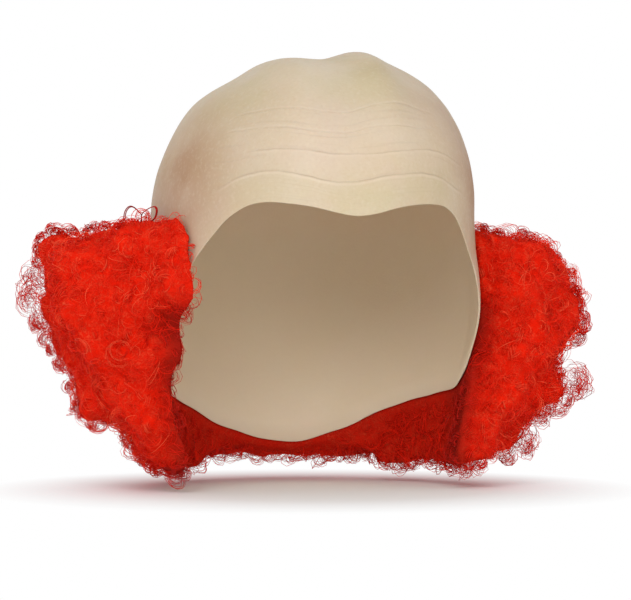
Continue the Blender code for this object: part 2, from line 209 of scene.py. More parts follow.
# Dents of the soft crown: place and spread across, along and down, as shares of the half width, of the front
# reach and of the dome's height, and then the share of the depth, negative on a ridge
DENTS = (
    (0, -0.05, 0, 0.18, 0.9, 0.8, 0.78),  # saddle
    (0.26, -0.1, 0, 0.08, 0.6, 0.8, -0.33),  # ridge
    (-0.54, 0, 0.1, 0.18, 0.62, 0.5, 1),  # shoulder
    (-0.9, 0.15, 0.5, 0.24, 0.7, 0.3, 0.61),  # flank
    (0.46, -0.5, 0.2, 0.1, 0.22, 0.4, 0.28),  # dimple
)

# The four creases of the forehead: how deep each is, how far below it a strip of painted light runs, and its
# drops at azimuths from left to right
CREASES = (
    {
        "depth": 0.65,
        "light_band": -0.001,
        "azimuths": (-46, -39, -21, -2, 8, 21, 38),
        "drops": (0.038, 0.0342, 0.0328, 0.0349, 0.0317, 0.0311, 0.035),
    },
    {
        "depth": 0.5,
        "light_band": -0.001,
        "azimuths": (-48, -40, -23, -10, -2, 9, 34),
        "drops": (0.045, 0.0429, 0.0421, 0.0446, 0.0449, 0.0419, 0.043),
    },
    {
        "depth": 0.75,
        "light_band": 0.0011,
        "azimuths": (-36, -28, -15, -7, 6, 28, 48),
        "drops": (0.0545, 0.053, 0.053, 0.0549, 0.0549, 0.0527, 0.059),
    },
    {
        "depth": 1,
        "light_band": 0.001,
        "azimuths": (-46, -33, -22, -14, -3, 12, 26, 46),
        "drops": (0.072, 0.065, 0.0631, 0.0655, 0.0687, 0.065, 0.0643, 0.072),
    },
)

# Sprayed shades on the latex, and painted shade in the dimple: azimuth and drop, spread in degrees and metres,
# and how brown, rose and olive
SHADES = (
    (-64, 0.058, 19, 0.019, 0.66, 0.2, 0),
    (-62, 0.085, 16, 0.018, 0.3, 0.5, 0),
    (62, 0.066, 19, 0.03, 0.72, 0.4, 0),
    (76, 0.084, 14, 0.02, 0.75, 0.3, 0),
    # The next two rows are painted shade in the dimple right of the crown's ridge
    (14, 0.024, 14, 0.009, 0, 0, 0.8),
    (18, 0.012, 9, 0.004, 0.16, 0, 0.5),
    (-48, 0.03, 22, 0.012, 0.1, 0, 0.5),
    (-6, 0.043, 20, 0.016, 0, 0.45, 0),
    (34, 0.03, 14, 0.01, 0.15, 0.35, 0.1),
    (20, 0.074, 22, 0.006, 0, 0, 0.35),
    (-30, 0.07, 14, 0.009, 0, 0, 0.35),
    (135, 0.06, 30, 0.03, 0.4, 0.3, 0),
    (-135, 0.055, 30, 0.03, 0.4, 0.2, 0.1),
    (180, 0.045, 35, 0.02, 0.1, 0.1, 0.4),
)

# The bunches: how many coils and puffs each has
BUNCHES = (
    {"node": "hair_left", "seams": (-SEAM_AZIMUTH,), "coils": 110, "puffs": 720, "seed": 11},
    {"node": "hair_right", "seams": (SEAM_AZIMUTH,), "coils": 105, "puffs": 710, "seed": 23},
    {"node": "hair_back", "seams": (-SEAM_AZIMUTH, SEAM_AZIMUTH), "coils": 115, "puffs": 790, "seed": 37},
)

# Larger see-through curls at the outline: the place across the picture and the height that each reaches, in
# tenths of a millimetre
TENTHS = 10000
TIPS = {
    "hair_left": (
        (-1345, -832), (-1291, -788), (-1252, -805), (-1212, -807), (-1163, -801), (-1119, -797),
        (-1068, -773), (-1016, -768), (-948, -773), (-855, -763), (-1369, -905), (-1385, -974),
        (-1420, -1052), (-1462, -1112), (-1440, -1160), (-1389, -1268), (-1384, -1305), (-1345, -1350),
        (-1301, -1415), (-1266, -1493), (-1222, -1591), (-1183, -1670), (-1154, -1738), (-1075, -1802),
        (-997, -1777), (-928, -1866), (-855, -1895), (-845, -1973), (-766, -2027), (-683, -2003),
        (-615, -2017), (-585, -1954),
    ),
    "hair_right": (
        (860, -788), (924, -807), (1027, -797), (1086, -846), (1159, -900), (1228, -940),
        (1301, -1023), (1321, -1101), (1341, -1170), (1370, -1258), (1375, -1307), (1340, -1375),
        (1365, -1525), (1385, -1557), (1331, -1621), (1287, -1674), (1228, -1743), (1159, -1782),
        (1125, -1856), (1071, -1944), (983, -1968), (836, -1998), (753, -1959), (669, -1934),
    ),
    "hair_back": (),
}

# Where the mass is moved to the photographed outline: place across and height, radius, move aside and up
MOVES = (
    (-0.1374, -0.1185, 0.012, 0.0065, 0),
    (-0.0673, -0.1356, 0.018, 0.004, 0),
    (-0.0725, -0.0802, 0.018, 0, 0.006),
    (-0.0953, -0.1807, 0.009, 0, 0.004),
    (0.118, -0.101, 0.013, 0.0105, 0),
    (0.1277, -0.1283, 0.008, 0.005, 0),
    (0.1257, -0.1459, 0.008, -0.005, 0),
    (0.1277, -0.1645, 0.014, -0.0065, 0.001),
    (0.0983, -0.1885, 0.013, -0.002, 0.0025),
    (0.0811, -0.0788, 0.01, 0, -0.0035),
)

# Two loops of hair that stand up at the inner top of the left bunch: the middle, and points across and up in
# tenths of a millimetre
LOOP_MIDDLE = (-0.0861, -0.0124, -0.0754)
LOOPS = (
    (
        (-76, -100), (-80, -38), (-78, -9), (-73, 16), (-61, 35),
        (-45, 42), (-26, 33), (-10, 16), (3, -5), (4, -100),
    ),
    (
        (-6, -100), (3, -3), (22, 20), (48, 35), (70, 39), (80, 26),
        (78, 3), (70, -16), (54, -27), (35, -30), (12, -45), (10, -100),
    ),
)
LOOP_RADIUS = 0.00024
LOOP_STEPS = 44
LOOP_FIBRES = 3
LOOP_GROWTH = 0.05
LOOP_BOW = 0.0012
LOOP_SPREAD = 0.0005
LOOP_SEED = 5
LOOP_TWIST = 0.7

# How strongly each colour covers the latex: the painted shadow along the creases, the painted light on their
# bands, the painted shadow in the fine lines and the inside
CREASE_COVER = 0.44
BAND_COVER = 0.24
LINE_COVER = 0.14
INSIDE_COVER = 0.75

# The fine lines beside the creases, with painted shadow in them: how finely they vary along the brow and down
# it
LINE_SCALES = (("X", "side", 22), ("Y", "level", 520))

# How pale the fibres are: mean and spread, from 0 dark to 1 pale; the palest carry painted highlights, and
# those beside the head are darkened by painted shadow
COIL_TONE_AND_LIGHT = (0.84, 0.15)
FRIZZ_TONE_AND_LIGHT = (0.66, 0.16)
TIP_TINT = 0.36
LOOP_TINT = (0.08, 0.1)

# The rings drawn on the mass as bumps and painted highlights: cells to a metre, waves to a cell's radius and
# shift, and how far they sway
RINGS = ((150, 42, 0.0), (88, 66, 0.37))
RING_SWAY = 0.004

# Colours, linear
CREAM = (0.61, 0.515, 0.385)
TAN = (0.58, 0.47, 0.315)
OLIVE = (0.5, 0.43, 0.245)
ROSE = (0.605, 0.47, 0.375)
BROWN = (0.35, 0.178, 0.078)
# Painted shadow in the creases and the fine lines
WRINKLE_SHADOW = (0.38, 0.275, 0.21)
# Painted light on the strips beside the creases
BAND_LIGHT = (0.8, 0.68, 0.56)
INSIDE_SHADE = (0.8, 0.67, 0.49)
PALE_LATEX = (0.7, 0.61, 0.47)
RED = (0.85, 0.016, 0.002)
MASS_RED = (0.77, 0.012, 0.001)
DEEP_RED = (0.66, 0.01, 0.002)
# Painted shade between the curls and beside the head
PAINTED_SHADE_RED = (0.3, 0.009, 0.004)
# Dark fibres, also reached by the painted shadow on fibres beside the head
DARK_RED = (0.28, 0.016, 0.014)
# Painted highlights on the curls
HIGHLIGHT_RED = (0.95, 0.15, 0.06)


def curve(keys, values, at):
    """Values on a smooth curve through points, level at both ends."""
    keys = np.array(keys, float)
    values = np.array(values, float)
    at = np.clip(at, keys[0], keys[-1])
    slopes = np.zeros(len(keys))
    slopes[1:-1] = (values[2:] - values[:-2]) / (keys[2:] - keys[:-2])
    i = np.clip(np.searchsorted(keys, at, side="right") - 1, 0, len(keys) - 2)
    span = keys[i + 1] - keys[i]
    t = (at - keys[i]) / span
    start = (2 * t**3 - 3 * t**2 + 1) * values[i] + (t**3 - 2 * t**2 + t) * span * slopes[i]
    end = (3 * t**2 - 2 * t**3) * values[i + 1] + (t**3 - t**2) * span * slopes[i + 1]
    return start + end


def turned(azimuth):
    """The azimuth from -180 to 180."""
    return (azimuth + 180) % 360 - 180


def ease(share):
    share = np.clip(share, 0, 1)
    return share * share * (3 - 2 * share)


def plan_reach(azimuth):
    """The cap's reach from the axis at its widest level."""
    across = np.sin(np.radians(azimuth))
    ahead = np.cos(np.radians(azimuth))
    side = CAP_WIDTH / 2 * (1 - FOREHEAD_TAPER * np.maximum(0, ahead))
    along = np.where(ahead > 0, CAP_FRONT, CAP_BACK)
    return (np.abs(across / side) ** PLAN_POWER + np.abs(ahead / along) ** PLAN_POWER) ** (-1 / PLAN_POWER)


def level_share(azimuth, drop):
    """The share of the plan's reach that the cap has at a drop below the crown."""
    up = np.clip(1 - drop / DOME_HEIGHT, 0, 1)
    dome = (1 - up**DOME_POWER) ** (1 / DOME_POWER)
    level = np.maximum(drop - DOME_HEIGHT, 0) / (NAPE_DROP - DOME_HEIGHT)
    backness = np.maximum(0, -np.cos(np.radians(azimuth))) ** NAPE_TURN_POWER
    side = curve(LOWER_LEVELS, SIDE_SHARES, level)
    back = curve(LOWER_LEVELS, BACK_SHARES, level)
    return np.where(drop < DOME_HEIGHT, dome, side + (back - side) * backness)


def dent_depth(x, y, drop):
    """How far the soft crown is pressed in at a place."""
    depth = 0
    for x_share, y_share, drop_share, wide, long, tall, share in DENTS:
        across = (x / (CAP_WIDTH / 2) - x_share) / wide
        along = (y / CAP_FRONT - y_share) / long
        down = (drop / DOME_HEIGHT - drop_share) / tall
        depth = depth + share * DENT_DEPTH * np.exp(-(across**2 + along**2 + down**2) / 2)
    return depth


CROWN_LIFT = LATEX + dent_depth(0, 0, 0)


def form_points(azimuth, drop, outward=0.0):
    """Points on the cap's outside, moved outward by a length."""
    angle = np.radians(azimuth)
    reach = plan_reach(azimuth) * level_share(azimuth, drop)
    points = np.stack((reach * np.sin(angle), -reach * np.cos(angle), -drop), -1)
    middle = np.stack((0 * drop, 0 * drop, -np.maximum(DOME_HEIGHT, drop)), -1)
    away = points - middle
    away /= np.linalg.norm(away, axis=-1, keepdims=True)
    dent = dent_depth(points[..., 0], points[..., 1], drop)
    return points + away * (outward - dent)[..., None] + np.array((0, 0, CROWN_LIFT))


def rim_drop(azimuth):
    """The drop of the cap's lower edge below the crown."""
    share = curve(RIM_AZIMUTHS, RIM_DROPS, np.abs(turned(azimuth)))
    return BROW_DROP + share * (NAPE_DROP - BROW_DROP)


def travel_to(drop):
    """Distance down the cap, as a share of the way from the crown to its widest level."""
    up = np.clip(1 - drop / DOME_HEIGHT, 0, 1)
    beyond = np.maximum(drop - DOME_HEIGHT, 0) / (DOME_HEIGHT * math.pi / 2)
    return np.arccos(up ** (DOME_POWER / 2)) / (math.pi / 2) + beyond


def drop_at(travel):
    """The drop below the crown at a share of travel, the reverse of travel_to."""
    inside = DOME_HEIGHT * (1 - np.cos(np.minimum(travel, 1) * math.pi / 2) ** (2 / DOME_POWER))
    return inside + np.maximum(travel - 1, 0) * DOME_HEIGHT * math.pi / 2


def noise_at(points, length, seed=0):
    """Smooth noise from about -1 to 1 at each point."""
    flat = points.reshape(-1, 3) / length + seed * SEED_SHIFT
    return np.array([noise.noise(Vector(point)) for point in flat]).reshape(points.shape[:-1])


def new_mesh(name, vertices, faces):
    mesh = bpy.data.meshes.new(name)
    mesh.from_pydata(vertices, [], faces)
    mesh.update()
    return mesh


def put_piece(mesh, node, material):
    """A piece of the object, with its mesh's name, that rides on the one body and stands for a node."""
    mesh.shade_smooth()
    mesh.materials.append(material)
    piece = bpy.data.objects.new(mesh.name, mesh)
    bpy.context.scene.collection.objects.link(piece)
    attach(piece, "root")
    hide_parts(node)


def store(mesh, name, values):
    """A number at each vertex, for the material to read."""
    attribute = mesh.attributes.new(name, "FLOAT", "POINT")
    attribute.data.foreach_set("value", np.ascontiguousarray(values, np.float32).ravel())


def grid_faces(rows, columns):
    """Quads of a grid of vertices that closes on itself round its columns."""
    number = np.arange(rows * columns).reshape(rows, columns)
    following = np.roll(number, -1, axis=1)
    return np.stack((number[:-1], number[1:], following[1:], following[:-1]), -1).reshape(-1, 4).tolist()


def unit(vectors):
    return vectors / np.maximum(np.linalg.norm(vectors, axis=-1, keepdims=True), 1e-12)


# Shader nodes


def add(tree, kind, values=None, **settings):
    """A node with its settings, and its inputs set or linked by name or number."""
    made = tree.nodes.new(kind)
    for key, value in settings.items():
        setattr(made, key, value)
    for key, value in (values or {}).items():
        if isinstance(value, bpy.types.NodeSocket):
            tree.links.new(value, made.inputs[key])
        else:
            made.inputs[key].default_value = value
    return made


def plain_noise(tree, place, scale, detail):
    return add(tree, "ShaderNodeTexNoise", {"Vector": place, "Scale": scale, "Detail": detail}).outputs


def noise_share(tree, place, scale, detail, low, high):
    """Noise stretched so that low to high becomes 0 to 1."""
    return rescaled(tree, plain_noise(tree, place, scale, detail)["Fac"], low, high, 0, 1)


def rescaled(tree, value, low, high, new_low, new_high):
    values = {"Value": value, "From Min": low, "From Max": high, "To Min": new_low, "To Max": new_high}
    return add(tree, "ShaderNodeMapRange", values).outputs["Result"]


def times(tree, value, other):
    return add(tree, "ShaderNodeMath", {0: value, 1: other}, operation="MULTIPLY").outputs[0]


def plus(tree, value, other):
    return add(tree, "ShaderNodeMath", {0: value, 1: other}, operation="ADD").outputs[0]


def shifted(tree, place, shift):
    return add(tree, "ShaderNodeVectorMath", {0: place, 1: shift}, operation="ADD").outputs[0]


def blend(tree, share, under, over):
    """One colour over another, by a share."""
    colours = {}
    for key, value in ((6, under), (7, over)):
        colours[key] = value if isinstance(value, bpy.types.NodeSocket) else (*value, 1)
    return add(tree, "ShaderNodeMix", {0: share, **colours}, data_type="RGBA").outputs[2]


def read_number(tree, name):
    return add(tree, "ShaderNodeAttribute", attribute_name=name).outputs["Fac"]


def material_tree(name, roughness, specular):
    """(material, its nodes, its shader, the place on the object)."""
    material = bpy.data.materials.new(name)
    material.use_nodes = True
    tree = material.node_tree
    shader = tree.nodes["Principled BSDF"]
    shader.inputs["Roughness"].default_value = roughness
    shader.inputs["Specular IOR Level"].default_value = specular
    place = add(tree, "ShaderNodeTexCoord").outputs["Object"]
    return material, tree, shader, place


def latex_material():
    """Latex sprayed in thin mottled coats of cream, tan, rose, olive and brown, with painted shade in the
    dimple, painted shadow in the creases and fine lines, and painted light beside the creases.
    """
    material, tree, shader, place = material_tree("latex", 0.55, 0.25)
    colour = blend(tree, noise_share(tree, place, 26, 3, 0.38, 0.66), CREAM, TAN)
    colour = blend(tree, times(tree, noise_share(tree, place, 34, 3, 0.5, 0.7), 0.5), colour, ROSE)
    moved = shifted(tree, place, (0.31, 0.17, 0.53))
    colour = blend(tree, times(tree, noise_share(tree, moved, 31, 3, 0.52, 0.72), 0.5), colour, OLIVE)
    # The sprayed shades and the dimple's painted shade, in olive, rose and brown
    for name, over in (("olive", OLIVE), ("rose", ROSE), ("brown", BROWN)):
        patchy = noise_share(tree, moved, 38, 2, -0.3, 0.55)
        colour = blend(tree, times(tree, read_number(tree, name), patchy), colour, over)
    colour = blend(tree, times(tree, noise_share(tree, place, 620, 2, 0.5, 0.8), 0.1), colour, BROWN)
    colour = blend(tree, times(tree, noise_share(tree, moved, 540, 2, 0.52, 0.8), 0.2), colour, PALE_LATEX)
    along = {key: times(tree, read_number(tree, name), scale) for key, name, scale in LINE_SCALES}
    lines = add(tree, "ShaderNodeCombineXYZ", along).outputs["Vector"]
    lines = times(tree, noise_share(tree, lines, 1, 1, 0.56, 0.74), read_number(tree, "brow"))
    # Painted shadow in the fine lines
    colour = blend(tree, times(tree, lines, LINE_COVER), colour, WRINKLE_SHADOW)
    # Painted light on the strip beside each crease
    colour = blend(tree, times(tree, read_number(tree, "light_band"), BAND_COVER), colour, BAND_LIGHT)
    # Painted shadow along the creases
    colour = blend(tree, times(tree, read_number(tree, "crease"), CREASE_COVER), colour, WRINKLE_SHADOW)
    colour = blend(tree, times(tree, read_number(tree, "inside"), INSIDE_COVER), colour, INSIDE_SHADE)
    tree.links.new(colour, shader.inputs["Base Color"])
    tree.links.new(noise_share(tree, place, 190, 2, -1.3, 2.6), shader.inputs["Roughness"])
    pores = add(tree, "ShaderNodeTexVoronoi", {"Vector": place, "Scale": 780}).outputs["Distance"]
    skin = plus(tree, times(tree, pores, 0.5), noise_share(tree, place, 320, 2, 0, 1))
    skin = plus(tree, skin, times(tree, lines, -1.2))
    bump = add(tree, "ShaderNodeBump", {"Height": skin, "Strength": 0.12, "Distance": 0.0006})
    tree.links.new(bump.outputs["Normal"], shader.inputs["Normal"])
    shader.inputs["Subsurface Weight"].default_value = 0.1
    shader.inputs["Subsurface Radius"].default_value = (0.006, 0.003, 0.0015)
    shader.inputs["Subsurface Scale"].default_value = 0.5
    return material


def core_material():
    """Dense crimped curls: broken rings of fibres round the middle of each curl in painted highlight red, over
    a fine tangle, with painted shade between the curls and beside the head.
    """
    material, tree, shader, place = material_tree("hair_core", 0.75, 0.04)
    tangle = plain_noise(tree, place, 950, 4)["Fac"]
    rings = 0.0
    for scale, turns, shift in RINGS:
        sway = {0: plain_noise(tree, place, 380, 2)["Color"], 1: (RING_SWAY, RING_SWAY, RING_SWAY)}
        sway = add(tree, "ShaderNodeVectorMath", sway, operation="MULTIPLY").outputs[0]
        bent = shifted(tree, shifted(tree, place, sway), (shift, shift, shift))
        cells = add(tree, "ShaderNodeTexVoronoi", {"Vector": bent, "Scale": scale}).outputs["Distance"]
        wave = add(tree, "ShaderNodeMath", {0: times(tree, cells, turns)}, operation="SINE").outputs[0]
        broken = times(tree, rescaled(tree, wave, 0.1, 1, 0, 1), noise_share(tree, bent, 210, 2, 0.42, 0.62))
        rings = plus(tree, broken, rings)
    colour = blend(tree, times(tree, noise_share(tree, place, 120, 3, 0.35, 0.7), 0.6), MASS_RED, DEEP_RED)
    # Painted highlights on the rings of fibres
    colour = blend(tree, times(tree, rings, 0.26), colour, HIGHLIGHT_RED)
    colour = blend(tree, times(tree, rescaled(tree, tangle, 0.5, 0.66, 0, 1), 0.35), colour, DEEP_RED)
    # Painted shade between the curls and beside the head
    colour = blend(tree, read_number(tree, "painted_shade"), colour, PAINTED_SHADE_RED)
    tree.links.new(colour, shader.inputs["Base Color"])
    height = plus(tree, times(tree, rings, 0.7), times(tree, tangle, 3))
    bump = add(tree, "ShaderNodeBump", {"Height": height, "Strength": 0.5, "Distance": 0.0006})
    tree.links.new(bump.outputs["Normal"], shader.inputs["Normal"])
    return material


def fibre_material():
    """Thin curled fibre, each strand a little darker or paler than the next, the palest with painted
    highlights and those beside the head with painted shadow.
    """
    material, tree, shader, place = material_tree("hair_fibre", 0.55, 0.09)
    colour = blend(tree, rescaled(tree, read_number(tree, "tone_and_light"), 0, 0.3, 0, 1), DARK_RED, DEEP_RED)
    colour = blend(tree, rescaled(tree, read_number(tree, "tone_and_light"), 0.3, 0.7, 0, 1), colour, RED)
    # The palest fibres get painted highlights
    pale = rescaled(tree, read_number(tree, "tone_and_light"), 0.75, 1, 0, 0.7)
    colour = blend(tree, pale, colour, HIGHLIGHT_RED)
    flecks = noise_share(tree, place, 700, 2, 0.5, 0.8)
    colour = blend(tree, times(tree, flecks, 0.35), colour, DEEP_RED)
    tree.links.new(colour, shader.inputs["Base Color"])
    rough = rescaled(tree, plain_noise(tree, place, 900, 2)["Fac"], 0.3, 0.7, 0.42, 0.6)
    tree.links.new(rough, shader.inputs["Roughness"])
    return material


# The cap


def even_azimuths():
    """Azimuths that lie evenly along the cap's lower edge."""
    azimuths = np.linspace(0, 360, RIM_SAMPLES + 1)
    points = form_points(azimuths, rim_drop(azimuths))
    lengths = np.concatenate(([0], np.cumsum(np.linalg.norm(np.diff(points, axis=0), axis=1))))
    return np.interp(np.arange(CAP_COLUMNS) * lengths[-1] / CAP_COLUMNS, lengths, azimuths)


def crease_travels(azimuths):
    """The distance down the cap of each crease at each azimuth."""
    side = turned(azimuths)
    travels = []
    for number, crease in enumerate(CREASES):
        wander = sum(size * np.sin(side * waves + number * turn) for waves, turn, size in CREASE_WAVES)
        travel = travel_to(curve(crease["azimuths"], crease["drops"], side)) * DOME_HEIGHT * math.pi / 2
        travels.append(travel + CREASE_WANDER * wander)
    return np.array(travels)


def spaced(start, end, count):
    """Evenly spaced rows from a start to an end, without the two of them."""
    shares = np.linspace(0, 1, count + 2)[1:-1, None]
    return start + (end - start) * shares


def outer_rows(azimuths, bottoms):
    """The distance down the cap of each row of its outside at each column, close together at the creases."""
    creases = crease_travels(azimuths)
    offsets = np.array(CREASE_OFFSETS)[:, None]
    sections = [spaced(0 * bottoms, creases[0] + offsets[0], TOP_ROWS)]
    for number, crease in enumerate(creases):
        sections.append(crease + offsets)
        if number + 1 < len(creases):
            sections.append(spaced(crease + offsets[-1], creases[number + 1] + offsets[0], BETWEEN_ROWS))
    sections.append(spaced(creases[-1] + offsets[-1], bottoms, LOWER_CAP_ROWS))
    return np.concatenate((*sections, bottoms[None]))


def crease_forms(azimuths, down):
    """(outward length, share of the crease's painted shadow, share of the painted light beside it) of the
    forehead's creases.
    """
    side = turned(azimuths)
    outward = np.zeros_like(down)
    shade = np.zeros_like(down)
    light_band = np.zeros_like(down)
    for number, travel in enumerate(crease_travels(azimuths)):
        crease = CREASES[number]
        first, last = crease["azimuths"][0], crease["azimuths"][-1]
        deep = crease["depth"] * ease(np.minimum(side - first, last - side) / CREASE_FADE)
        wave = np.sin(side * VARIETY_WAVES + number * VARIETY_TURN)
        deep *= 1 - CREASE_VARIETY + CREASE_VARIETY * wave
        across = down - travel
        swell = CREASE_SWELL * np.exp(np.minimum(across, 0) / SWELL_RUN)
        dip = CREASE_DROP * np.exp(-np.maximum(across, 0) / DROP_RUN)
        outward += deep * np.where(across < 0, swell, -dip)
        shade += deep * np.exp(-((across / CREASE_LINE) ** 2))
        light_band += deep * np.exp(-(((across - crease["light_band"]) / BAND_WIDTH) ** 2))
    return outward, np.clip(shade, 0, 1), np.clip(light_band, 0, 1)


def line_numbers(azimuths, down, bottoms):
    """Places for the fine lines that run beside the creases, drawn as bumps with painted shadow: across, down,
    and how strong they are.
    """
    creases = crease_travels(azimuths)
    means = np.concatenate(([0], creases.mean(1), [bottoms.mean()]))
    level = np.empty_like(down)
    for column in range(len(azimuths)):
        level[:, column] = np.interp(down[:, column], [0, *creases[:, column], bottoms[column]], means)
    side = turned(azimuths)
    brow = ease((BROW_LINES_TURN - np.abs(side)) / BROW_LINES_FADE)
    brow = brow * ease((down - creases[0] + BROW_LINES_TOP) / BROW_LINES_RUN)
    across = np.broadcast_to(np.radians(side) * CAP_WIDTH / 2, down.shape)
    return {"side": across, "level": level, "brow": brow}


def shade_numbers(azimuth, drop):
    """Strength of each sprayed shade, and of the painted shade in the dimple, at each place."""
    numbers = {"brown": 0, "rose": 0, "olive": 0}
    for place, level, turn, tall, *strengths in SHADES:
        aside = turned(azimuth - place) / turn
        down = (drop - level) / tall
        spot = np.exp(-(aside**2 + down**2) / 2)
        for name, strength in zip(numbers, strengths):
            numbers[name] = numbers[name] + strength * spot
    return {name: np.clip(values, 0, 1) for name, values in numbers.items()}


def make_cap():
    """The thin shell of the cap: its outside with creases and waves, a fine edge and its plain inside."""
    columns = even_azimuths()
    wander = sum(size * np.sin(np.radians(columns * waves + turn)) for waves, turn, size in EDGE_WAVES)
    quarter = DOME_HEIGHT * math.pi / 2
    bottoms = travel_to(rim_drop(columns) + EDGE_WANDER * wander) * quarter

    down = outer_rows(columns, bottoms)
    azimuth = np.broadcast_to(columns, down.shape)
    drop = drop_at(down / quarter)
    smooth = form_points(azimuth, drop)
    outward, shade, light_band = crease_forms(azimuth, down)
    outward += WAVE_HEIGHT * noise_at(smooth, WAVE_LENGTH)
    outward += WAVE_HEIGHT / 3 * noise_at(smooth, WAVE_LENGTH / 3, 2)
    outer = form_points(azimuth, drop, outward)

    down_in = bottoms * np.linspace(0, 1, INNER_ROWS + 1)[1:, None]
    azimuth_in = np.broadcast_to(columns, down_in.shape)
    drop_in = drop_at(down_in / quarter)
    wall = EDGE_LATEX + (LATEX - EDGE_LATEX) * ease((bottoms - down_in) / EDGE_BAND)
    waves = WAVE_HEIGHT * noise_at(form_points(azimuth_in, drop_in), WAVE_LENGTH)
    inner = form_points(azimuth_in, drop_in, waves - wall)[::-1]
    lip = (outer[-1] + inner[0]) / 2 + unit(outer[-1] - outer[-2]) * EDGE_LATEX / 3
    crown = form_points(np.zeros(2), np.zeros(2), np.array([WAVE_HEIGHT * noise.noise(Vector()), -LATEX]))

    vertices = np.concatenate((outer.reshape(-1, 3), lip, inner.reshape(-1, 3), crown))
    rows = len(down) + 1 + INNER_ROWS
    faces = grid_faces(rows, CAP_COLUMNS)
    top, under = rows * CAP_COLUMNS, rows * CAP_COLUMNS + 1
    last = (rows - 1) * CAP_COLUMNS
    for j in range(CAP_COLUMNS):
        following = (j + 1) % CAP_COLUMNS
        faces.append((top, j, following))
        faces.append((under, last + following, last + j))
    mesh = new_mesh("cap_shell", vertices, faces)
    put_piece(mesh, "cap", latex_material())

    inside = np.zeros(len(vertices))
    inside[(len(down) + 1) * CAP_COLUMNS : -2] = 1
    inside[-1] = 1
    store(mesh, "inside", inside)
    padding = np.zeros((1 + INNER_ROWS) * CAP_COLUMNS + 2)
    numbers = {"crease": shade, "light_band": light_band, **shade_numbers(azimuth, drop)}
    numbers.update(line_numbers(columns, down, bottoms))
    for name, values in numbers.items():
        store(mesh, name, np.concatenate((values.ravel(), padding)))


# The hair


def azimuth_of(points):
    return np.degrees(np.arctan2(points[..., 0], -points[..., 1]))


def own_reach(points):
    return np.linalg.norm(points[..., :2], axis=-1)


def cap_reach(points):
    """The cap's reach from the axis at each point's height and azimuth."""
    azimuth = azimuth_of(points)
    drop = np.maximum(CROWN_LIFT - points[..., 2], 0)
    return plan_reach(azimuth) * level_share(azimuth, drop)


def clearance_of(points):
    """How far each point is outside the cap."""
    return own_reach(points) - cap_reach(points)


def depth_below_rim(points):
    """How far each point is below the cap's edge."""
    return CROWN_LIFT - points[..., 2] - rim_drop(azimuth_of(points))


def kept_clear(points, gap):
    """The points, moved out to clear the cap by a gap."""
    out = np.maximum((cap_reach(points) + gap) / np.maximum(own_reach(points), 1e-6), 1)
    moved = points.copy()
    moved[..., :2] *= out[..., None]
    return moved


def seam_normals(bunch):
    """The unit normal, out of the bunch, of each upright plane at which it meets its neighbour."""
    angles = np.radians(np.array(bunch["seams"]))
    sense = np.sign(bunch["seams"]) * (1 if len(angles) == 1 else -1)
    return np.stack((np.cos(angles), np.sin(angles), 0 * angles), -1) * sense[:, None]


def make_mass():
    """(points, normals, faces) of the dense hair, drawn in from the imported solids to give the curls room."""
    mesh = swollen_solids()
    points = vertex_array(mesh, "vertices", "co")
    normals = vertex_array(mesh, "vertex_normals", "vector")
    faces = [tuple(face.vertices) for face in mesh.polygons]
    bpy.data.meshes.remove(mesh)
    below = ease((depth_below_rim(points) - INNER_TOP) / INNER_RUN)
    inset = np.maximum(CORE_INSET * room_outside(points), INNER_INSET * below)
    points = points - normals * inset[:, None]
    return moved_to_outline(points), normals, faces


def room_outside(points):
    """0 where the hair meets the cap, rising to 1 a little further out."""
    return ease(clearance_of(points) / INSET_RUN)


def moved_to_outline(points):
    """The points, moved in the picture's plane to the photographed outline of the dense mass."""
    right = picture_axes()[0]
    moved = points.copy()
    for across, height, radius, aside, up in MOVES:
        distance = np.hypot(points @ right - across, points[:, 2] - height)
        share = np.exp(-((distance / radius) ** 2))
        moved += share[:, None] * (right * aside + np.array((0, 0, up)))
    return moved


def swollen_solids():
    """A smooth, evenly meshed copy of the three bunches' solids as one, without their bays and seams."""
    shape = bmesh.new()
    for bunch in BUNCHES:
        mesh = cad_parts[bunch["node"]].data.copy()
        points = vertex_array(mesh, "vertices", "co")
        for normal in seam_normals(bunch):
            points[np.abs(points @ normal) < SEAM_GAP] += normal * SEAM_RUN
        mesh.vertices.foreach_set("co", points.ravel())
        shape.from_mesh(mesh)
        bpy.data.meshes.remove(mesh)
    joined = bpy.data.meshes.new("rough")
    shape.to_mesh(joined)
    shape.free()
    rough = bpy.data.objects.new("rough", joined)
    bpy.context.scene.collection.objects.link(rough)
    for outward in (CORE_CLOSING, -CORE_CLOSING, 0):
        remesh = rough.modifiers.new("remesh", "REMESH")
        remesh.mode = "VOXEL"
        remesh.voxel_size = CORE_VOXEL
        if outward:
            swell = rough.modifiers.new("swell", "DISPLACE")
            swell.mid_level = 0
            swell.strength = outward
    smooth = rough.modifiers.new("smooth", "SMOOTH")
    smooth.iterations = CORE_SMOOTHING
    made = bpy.data.meshes.new_from_object(rough.evaluated_get(bpy.context.evaluated_depsgraph_get()))
    bpy.data.objects.remove(rough)
    return made


